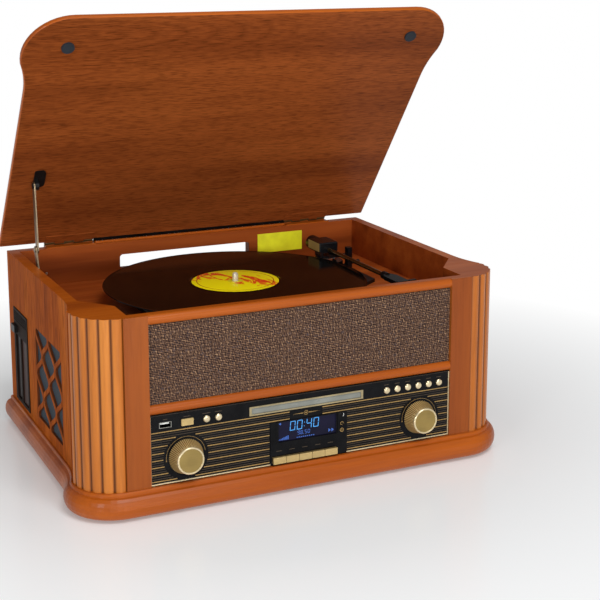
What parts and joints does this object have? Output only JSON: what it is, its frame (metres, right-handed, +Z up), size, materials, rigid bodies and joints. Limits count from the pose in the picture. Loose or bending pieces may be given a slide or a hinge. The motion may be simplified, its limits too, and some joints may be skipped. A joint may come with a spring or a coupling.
{
  "type": "stereo music centre",
  "caption": "Retro wooden music centre with an open hinged lid, record deck, reeded corner posts, CD drawer, radio panel with knobs, side cassette slot and side speakers.",
  "frame": {"origin": "on the supporting surface under the middle of the bounding box with the lid open", "axes": "+Z up, -Y towards the control panel, +X to the right seen from the front"},
  "size_m": [0.506, 0.3626, 0.4982],
  "materials": {
    "cabinet_wood": "satin stained veneer",
    "lid_wood": "satin stained walnut",
    "deck_wood": "matte dark stain",
    "grille_cloth": "woven",
    "speaker_cloth": "woven",
    "black_plastic": "fine texture",
    "gloss_black": "polished",
    "gold": "satin gold plate",
    "key_plastic": "satin",
    "drawer_plastic": "satin",
    "display_glass": "polished",
    "steel": "brushed",
    "aluminium": "turned",
    "vinyl": "polished",
    "rubber": "matte",
    "board": "satin"
  },
  "bodies": {
    "cabinet": {"base_board": "cabinet_wood", "feet": "rubber", "left_side_panel": "cabinet_wood", "right_side_panel": "cabinet_wood", "corner_posts": "cabinet_wood", "rear_panel": "cabinet_wood", "front_rails": "cabinet_wood", "deck_board": "deck_wood", "grille_panel": "grille_cloth", "control_panel": "gloss_black", "drawer_frame_trim": "gold", "display_module": "display_glass", "rear_socket_plate": "black_plastic", "rear_screws": "steel", "cabinet_hinge_leaves": "steel", "stay_wall_bracket": "black_plastic", "speakers": "steel", "speaker_cloths": "speaker_cloth", "turntable_chassis": "black_plastic", "turntable_motor": "steel", "drive_belt": "rubber", "arm_base": "black_plastic", "front_board": "board", "main_board": "board", "cd_mechanism": "steel", "cassette_deck": "black_plastic"},
    "lid": {"lid_board": "lid_wood", "lid_bumpers": "rubber", "lid_hinge_leaves": "steel", "stay_lid_bracket": "black_plastic"},
    "upper_link": {"stay_upper_link": "steel"},
    "lower_link": {"stay_lower_link": "steel"},
    "turning_platter": {"platter": "black_plastic", "platter_mat": "rubber", "record": "vinyl"},
    "pulley": {"motor_pulley": "gold"},
    "gimbal": {"arm_gimbal": "black_plastic"},
    "tonearm": {"arm_tube": "gloss_black", "headshell": "black_plastic", "counterweight": "aluminium"},
    "volume_knob_body": {"volume_knob": "gold"},
    "tuning_knob_body": {"tuning_knob": "gold"},
    "power_button_body": {"power_button": "gold"},
    "left_button_1_body": {"left_button_1": "gold"},
    "left_button_2_body": {"left_button_2": "gold"},
    "right_button_1_body": {"right_button_1": "gold"},
    "right_button_2_body": {"right_button_2": "gold"},
    "right_button_3_body": {"right_button_3": "gold"},
    "right_button_4_body": {"right_button_4": "gold"},
    "right_button_5_body": {"right_button_5": "gold"},
    "right_button_6_body": {"right_button_6": "gold"},
    "key_1_body": {"key_1": "key_plastic"},
    "key_2_body": {"key_2": "key_plastic"},
    "key_3_body": {"key_3": "key_plastic"},
    "key_4_body": {"key_4": "key_plastic"},
    "key_5_body": {"key_5": "key_plastic"},
    "cd_drawer_body": {"cd_drawer": "drawer_plastic"},
    "cue_lever_body": {"cue_lever": "gloss_black"},
    "cassette_flap_body": {"cassette_flap": "gloss_black"},
    "cassette_eject_body": {"cassette_eject": "black_plastic"}
  },
  "joints": [
    {"name": "lid_hinge", "type": "hinge", "parent": "cabinet", "child": "lid", "pos_m": [0, 0.1788, 0.214], "axis": [1, 0, 0], "range_deg": [0, 52.5]},
    {"name": "stay_lower_pivot", "type": "hinge", "parent": "cabinet", "child": "lower_link", "pos_m": [-0.2186, 0.078, 0.171], "axis": [-1, 0, 0], "range_deg": [0, 59.05]},
    {"name": "stay_upper_pivot", "type": "hinge", "parent": "lid", "child": "upper_link", "pos_m": [-0.2166, 0.10226, 0.29896], "axis": [1, 0, 0], "range_deg": [0, 24.25]},
    {"name": "platter_spin", "type": "hinge", "parent": "cabinet", "child": "turning_platter", "pos_m": [-0.015, -0.006, 0.18], "axis": [0, 0, -1], "continuous": true},
    {"name": "pulley_spin", "type": "hinge", "parent": "cabinet", "child": "pulley", "pos_m": [-0.0751, 0.0541, 0.176], "axis": [0, 0, -1], "continuous": true},
    {"name": "arm_swing", "type": "hinge", "parent": "cabinet", "child": "gimbal", "pos_m": [0.138, 0.0705, 0.185], "axis": [0, 0, -1], "range_deg": [0, 46]},
    {"name": "arm_lift", "type": "hinge", "parent": "gimbal", "child": "tonearm", "pos_m": [0.138, 0.0705, 0.1984], "axis": [1, 0, 0], "range_deg": [-12, 0.45]},
    {"name": "cue_lever_tilt", "type": "hinge", "parent": "cabinet", "child": "cue_lever_body", "pos_m": [0.165, 0.0665, 0.176], "axis": [1, 0, 0], "range_deg": [-48, 1.8]},
    {"name": "volume_turn", "type": "hinge", "parent": "cabinet", "child": "volume_knob_body", "pos_m": [-0.1365, -0.168, 0.057], "axis": [0, 1, 0], "range_deg": [-150, 150]},
    {"name": "tuning_turn", "type": "hinge", "parent": "cabinet", "child": "tuning_knob_body", "pos_m": [0.1365, -0.168, 0.057], "axis": [0, 1, 0], "continuous": true},
    {"name": "drawer_slide", "type": "slide", "parent": "cabinet", "child": "cd_drawer_body", "axis": [0, -1, 0], "range_m": [0, 0.124]},
    {"name": "flap_hinge", "type": "hinge", "parent": "cabinet", "child": "cassette_flap_body", "pos_m": [-0.2326, 0.1418, 0.078], "axis": [0, 0, 1], "range_deg": [0, 85], "stiffness_Nm_per_rad": 0.003},
    {"name": "eject_press", "type": "slide", "parent": "cabinet", "child": "cassette_eject_body", "axis": [1, 0, 0], "range_m": [0, 0.003], "stiffness_N_per_m": 400},
    {"name": "power_press", "type": "slide", "parent": "cabinet", "child": "power_button_body", "axis": [0, 1, 0], "range_m": [0, 0.0012], "stiffness_N_per_m": 400},
    {"name": "left_button_1_press", "type": "slide", "parent": "cabinet", "child": "left_button_1_body", "axis": [0, 1, 0], "range_m": [0, 0.0012], "stiffness_N_per_m": 400},
    {"name": "left_button_2_press", "type": "slide", "parent": "cabinet", "child": "left_button_2_body", "axis": [0, 1, 0], "range_m": [0, 0.0012], "stiffness_N_per_m": 400},
    {"name": "right_button_1_press", "type": "slide", "parent": "cabinet", "child": "right_button_1_body", "axis": [0, 1, 0], "range_m": [0, 0.0012], "stiffness_N_per_m": 400},
    {"name": "right_button_2_press", "type": "slide", "parent": "cabinet", "child": "right_button_2_body", "axis": [0, 1, 0], "range_m": [0, 0.0012], "stiffness_N_per_m": 400},
    {"name": "right_button_3_press", "type": "slide", "parent": "cabinet", "child": "right_button_3_body", "axis": [0, 1, 0], "range_m": [0, 0.0012], "stiffness_N_per_m": 400},
    {"name": "right_button_4_press", "type": "slide", "parent": "cabinet", "child": "right_button_4_body", "axis": [0, 1, 0], "range_m": [0, 0.0012], "stiffness_N_per_m": 400},
    {"name": "right_button_5_press", "type": "slide", "parent": "cabinet", "child": "right_button_5_body", "axis": [0, 1, 0], "range_m": [0, 0.0012], "stiffness_N_per_m": 400},
    {"name": "right_button_6_press", "type": "slide", "parent": "cabinet", "child": "right_button_6_body", "axis": [0, 1, 0], "range_m": [0, 0.0012], "stiffness_N_per_m": 400},
    {"name": "key_1_press", "type": "slide", "parent": "cabinet", "child": "key_1_body", "axis": [0, 1, 0], "range_m": [0, 0.0012], "stiffness_N_per_m": 400},
    {"name": "key_2_press", "type": "slide", "parent": "cabinet", "child": "key_2_body", "axis": [0, 1, 0], "range_m": [0, 0.0012], "stiffness_N_per_m": 400},
    {"name": "key_3_press", "type": "slide", "parent": "cabinet", "child": "key_3_body", "axis": [0, 1, 0], "range_m": [0, 0.0012], "stiffness_N_per_m": 400},
    {"name": "key_4_press", "type": "slide", "parent": "cabinet", "child": "key_4_body", "axis": [0, 1, 0], "range_m": [0, 0.0012], "stiffness_N_per_m": 400},
    {"name": "key_5_press", "type": "slide", "parent": "cabinet", "child": "key_5_body", "axis": [0, 1, 0], "range_m": [0, 0.0012], "stiffness_N_per_m": 400}
  ],
  "couplings": [
    {"joint": "stay_lower_pivot", "follows": "lid_hinge", "ratio": 1.1248},
    {"joint": "stay_upper_pivot", "follows": "lid_hinge", "ratio": 0.4619},
    {"joint": "pulley_spin", "follows": "platter_spin", "ratio": 18},
    {"joint": "cue_lever_tilt", "follows": "arm_lift", "ratio": 4}
  ]
}
